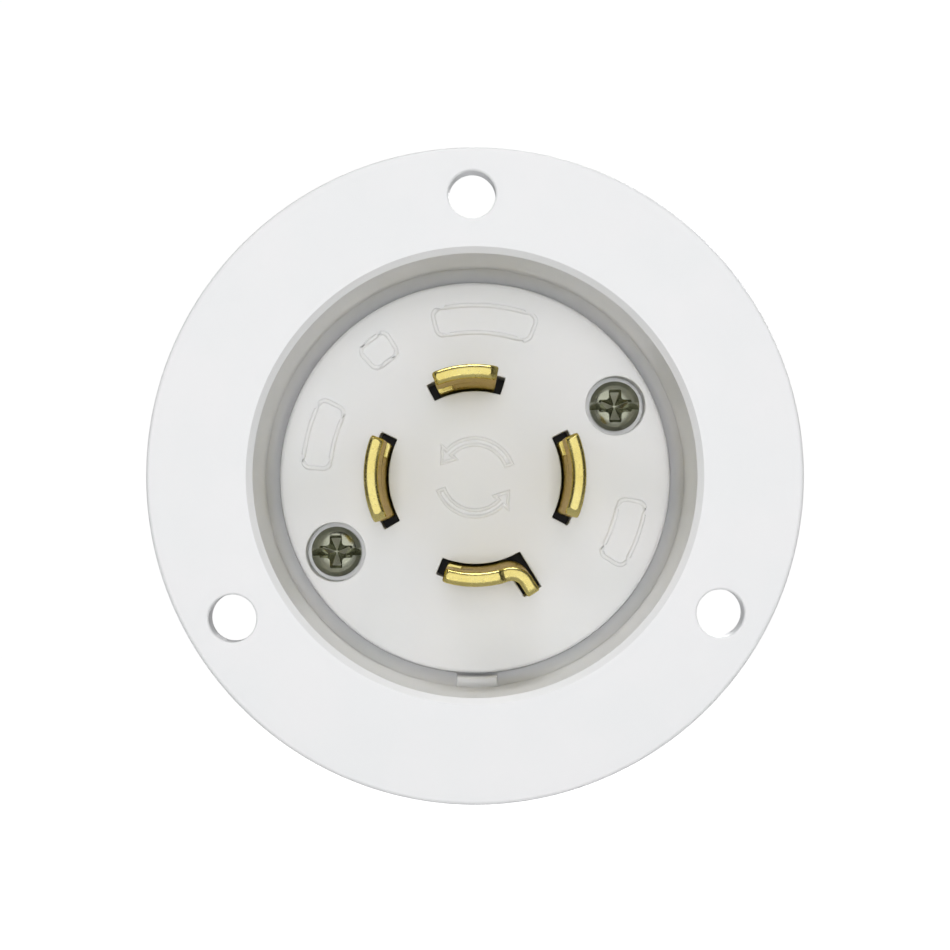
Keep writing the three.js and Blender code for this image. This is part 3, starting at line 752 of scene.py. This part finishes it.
# ------------------------------------------------------------------ wire clamps
def clamp_plate(name):
    """A pressure plate drawn facing +X: folded strip, bored for its screw, grooved to grip the wire."""
    x_ear, x_out = CLAMP_X
    half, ear_t, x_in = CLAMP_HALF_W, 0.9, x_out - 1.4
    outline = filleted(
        [
            (x_ear, -half, 0.2),
            (x_out, -half, 0.9),
            (x_out, half, 0.9),
            (x_ear, half, 0.2),
            (x_ear, half - ear_t, 0.2),
            (x_in, half - ear_t, 0.25),
            (x_in, ear_t - half, 0.25),
            (x_ear, ear_t - half, 0.2),
        ]
    )
    front, back = Y_CLAMP
    ease = quarter(0.15, 3)
    levels = [(front + down, -out) for out, down in ease]
    levels += [(back - down, -out) for out, down in reversed(ease)]
    plate = layered(name, outline, levels)
    cutters = [side_bore([(0, SCREW_R + 0.14), (BODY_R, SCREW_R + 0.14)], Y_SCREW)]
    for y in (-3.2, -2.5, 2.5, 3.2):
        diamond = [(x_in - 0.3, y), (x_in, y - 0.28), (x_in + 0.22, y), (x_in, y + 0.28)]
        ends = (ear_t - half + 0.3, half - ear_t - 0.3)
        cutters.append(skinned("groove", [[Vector((x, Y_SCREW + d, z)) for x, d in diamond] for z in ends]))
    return combined(plate, cutters)


# ------------------------------------------------------------------ terminal body and rear cover
def terminal_body():
    """The black moulding behind the cup: four clamp chambers, each with a side hole for a screwdriver."""
    profile = [
        (0.02, Y_LEDGE, 0),
        (LEDGE_R - 0.3, Y_LEDGE, 0.3),
        (LEDGE_R - 0.3, Y_LEDGE_BACK, 0.1),
        (BODY_R, Y_LEDGE_BACK, 0.5),
        (BODY_R, Y_COVER - 5.9, 0.1),
        (BODY_R - 0.2, Y_COVER - 5.7, 0.1),
        (BODY_R - 0.2, Y_COVER - 0.3, 0.1),
        (BODY_R - 0.5, Y_COVER, 0.1),
        (0.02, Y_COVER, 0),
    ]
    body = spindle("terminal_body", profile, 192)
    cutters = []
    for terminal in TERMINALS.values():
        r_in, r_out, half_w = CHAMBER["in_r"], CHAMBER["out_r"], CHAMBER["half_w"]
        chamber = box_mesh((r_in, r_out), (CHAMBER["front"], Y_COVER + 1), (-half_w, half_w), 0.3)
        flare = [(r_out - 1, DRIVER_HOLE_R), (BODY_R - 0.45, DRIVER_HOLE_R)]
        flare.append((BODY_R + 0.6, DRIVER_HOLE_R + 1.05))
        cutters.append(spun(chamber, terminal["facing"]))
        cutters.append(spun(side_bore(flare, Y_SCREW), terminal["facing"]))
        gauge_y = (Y_LEDGE_BACK + GAUGE_END, Y_COVER - GAUGE_END)
        gauge = box_mesh((BODY_R - 0.55, BODY_R + 1), gauge_y, (-0.9, 0.9), 0.25)
        cutters.append(spun(gauge, terminal["facing"] + GAUGE_TURN))
    return combined(body, cutters)


def rear_cover():
    """The black moulding over the chambers: funnelled wire entries, and pockets that hold the nuts still."""
    dish = 0.5
    profile = [
        (0.02, Y_COVER, 0),
        (BODY_R - 0.5, Y_COVER, 0.1),
        (BODY_R - 0.2, Y_COVER + 0.3, 0.1),
        (BODY_R, Y_COVER + 0.7, 0.1),
        (BODY_R, Y_REAR, 0.8),
        (9.2, Y_REAR, 0.2),
        (8.6, Y_REAR - dish, 0.2),
        (0.02, Y_REAR - dish, 0),
    ]
    cover = spindle("rear_cover", profile, 192)
    cutters = []
    for terminal in TERMINALS.values():
        entry = circle(WIRE_HOLE_R, 72, polar(WIRE_HOLE_AXIS_R, terminal["facing"]))
        cutters.append(lipped_cutter(entry, Y_REAR, Y_COVER - 1, 0.9, mouth_first=False))
        pin = circle(PIN_R, 40, polar(PIN_AXIS_R, terminal["facing"] + PIN_TURN))
        cutters.append(layered("pin_mark", pin, [(Y_REAR - PIN_DEPTH, 0), (Y_REAR + 1, 0)]))
    for angle in ASSEMBLY_ANGLES.values():
        centre = polar(ASSEMBLY_R, angle)
        pocket = [p + centre for p in hex_outline(NUT_ACROSS_FLATS + 0.3)]
        cutters.append(lipped_cutter(pocket, Y_REAR, Y_NUT[0], 0.2, mouth_first=False))
    return combined(cover, cutters)


# ------------------------------------------------------------------ assembly
def build():
    housing = "housing"
    finished(flange_housing(), "flange_shell", WHITE_NYLON, housing, ["flange_housing"])
    disc = gathered(face_plate(), face_marks())
    finished(disc, "face_disc", WHITE_NYLON, housing, ["face_plate"])
    finished(terminal_body(), "clamp_body", BLACK_NYLON, housing, ["terminal_body"])
    finished(rear_cover(), "wire_cover", BLACK_NYLON, housing, ["rear_cover"])
    for side, angle in ASSEMBLY_ANGLES.items():
        spot = polar(ASSEMBLY_R, angle)
        bolt = screw("bolt", LONG_HEAD_R, 2.3, LONG_SCREW_R, Y_LONG_TIP - Y_LONG_HEAD)
        shifted(bolt, spot.x, Y_LONG_HEAD, spot.y)
        finished(bolt, f"long_screw_{side}", NICKEL, housing, [f"assembly_screw_{side}"])
        hexagon = shifted(nut("hexagon"), spot.x, 0, spot.y)
        finished(hexagon, f"hex_nut_{side}", ZINC, housing, [f"assembly_nut_{side}"])
    screw_looks = {
        "x": (SCREW_BRASS, "screw_brass"),
        "y": (SCREW_BRASS, "screw_brass"),
        "w": (NICKEL, "nickel_plate"),
        "g": (GREEN, "green_ground"),
    }
    for key, terminal in TERMINALS.items():
        name = terminal["blade"]
        piece = name.replace("blade", "brass_blade")
        finished(blade(terminal), piece, BLADE_BRASS, housing, [name])
        plate = spun(clamp_plate("plate"), terminal["facing"])
        finished(plate, f"pressure_plate_{key}", ZINC, f"clamp_{key}", [f"clamp_plate_{key}"])
        bolt = screw("bolt", SCREW_HEAD_R, SCREW_HEAD_H, SCREW_R, SCREW_X[1] - SCREW_X[0])
        bolt.data.transform(Matrix.Rotation(math.radians(90), 4, "Z"))
        spun(shifted(bolt, SCREW_X[1], Y_SCREW), terminal["facing"])
        material, slot = screw_looks[key]
        finished(bolt, f"clamp_screw_{key}", material, f"screw_{key}", [f"terminal_screw_{key}"])


build()


# ------------------------------------------------------------------ camera, light and room
LENS = 61.0
LENS_BACK, LENS_UP, LENS_ROLL = 186, -3, -0.6


def camera():
    """A lens of medium length in front of the flange, a little below its axis and turned by half a degree."""
    lens = bpy.data.cameras.new("camera")
    lens.lens = LENS
    lens.clip_start = 0.01
    view = bpy.data.objects.new("camera", lens)
    place = Vector((0, Y_FRONT - LENS_BACK, LENS_UP)) * MM
    aim = Vector((0, Y_FRONT * MM, 0)) - place
    roll = Matrix.Rotation(math.radians(LENS_ROLL), 4, "Z")
    view.matrix_world = Matrix.Translation(place) @ aim.to_track_quat("-Z", "Y").to_matrix().to_4x4() @ roll
    bpy.context.scene.collection.objects.link(view)
    bpy.context.scene.camera = view


def softbox(name, azimuth, elevation, distance, size, share, lit=True, mirrored=True):
    """A diffused lamp, in metres and degrees, that adds a share of full white to what faces it.

    lit is whether it lights matt surfaces, and mirrored whether metals show it. A broad dim panel gives the
    brass and nickel something to mirror, while a smaller lamp near the lens lights the bottom of the cup.
    """
    lamp = bpy.data.lights.new(name, "AREA")
    lamp.shape = "RECTANGLE"
    lamp.size, lamp.size_y = size
    lamp.energy = share * math.pi**2 * distance**2
    obj = bpy.data.objects.new(name, lamp)
    turn, rise = math.radians(azimuth), math.radians(elevation)
    way = Vector((math.sin(turn) * math.cos(rise), -math.cos(turn) * math.cos(rise), math.sin(rise)))
    obj.location = way * distance
    obj.rotation_euler = way.to_track_quat("Z", "Y").to_euler()
    obj.visible_diffuse = lit
    obj.visible_glossy = mirrored
    bpy.context.scene.collection.objects.link(obj)


def room():
    """A white floor well below the inlet, under an even white sky. Both look pure white behind the object."""
    reach, drop, cloud = 4000, -400, 60.0
    corners = [(-reach, -reach, drop), (reach, -reach, drop), (reach, reach, drop), (-reach, reach, drop)]
    floor = mesh_object("floor", corners, [(0, 1, 2, 3)])
    paint, tree, where = blank_material("white_floor_paint")
    # Matt emulsion, rolled: flat pale grey whose tone drifts over about 60 mm.
    stipple_look = {"Scale": 1 / cloud, "Detail": 3.0}
    stipple = node(tree, "ShaderNodeTexNoise", links={"Vector": where}, values=stipple_look)
    colours = {6: linear(0xB6B6B6), 7: linear(0xB0B0B0)}
    tint = node(tree, "ShaderNodeMix", {"data_type": "RGBA"}, {0: stipple.outputs[0]}, colours)
    ray = node(tree, "ShaderNodeLightPath")
    surface = node(
        tree,
        "ShaderNodeBsdfPrincipled",
        links={"Base Color": tint.outputs[2], "Emission Strength": ray.outputs["Is Camera Ray"]},
        values={"Roughness": 0.8, "Emission Color": linear(0xFFFFFF)},
    )
    node(tree, "ShaderNodeOutputMaterial", links={"Surface": surface.outputs[0]})
    floor.data.materials.append(paint)


def sky():
    """An even white sky, full white to the eye and much dimmer as a lamp."""
    world = bpy.data.worlds.new("white_room")
    bpy.context.scene.world = world
    world.use_nodes = True
    tree = world.node_tree
    tree.nodes.clear()
    ray = node(tree, "ShaderNodeLightPath")
    reach = {1: 0, 2: 1, 3: SKY_LIGHT, 4: SKY_SEEN}
    strength = node(tree, "ShaderNodeMapRange", links={0: ray.outputs["Is Camera Ray"]}, values=reach)
    glow = {"Color": linear(0xFFFFFF)}
    white = node(tree, "ShaderNodeBackground", links={"Strength": strength.outputs[0]}, values=glow)
    node(tree, "ShaderNodeOutputWorld", links={"Surface": white.outputs[0]})


camera()
room()
sky()
softbox("lens", 0, 1, 2.2, (0.5, 0.5), 0.44, mirrored=False)
softbox("key", 0, 12, 2.2, (0.4, 0.3), 0.08, mirrored=False)
softbox("panel", 0, 6, 2.2, (2.4, 2.0), 0.35, lit=False)
softbox("overhead", -6, 68, 2.2, (1.2, 0.7), 0.38)
softbox("left", -57, 4, 2.2, (0.8, 1.2), 0.14, mirrored=False)
softbox("right", 57, 4, 2.2, (0.8, 1.2), 0.14, mirrored=False)
softbox("back", 158, 28, 2.2, (1.6, 1.4), 0.85)
scene = bpy.context.scene
scene.view_settings.view_transform = "Standard"
scene.view_settings.look = "None"
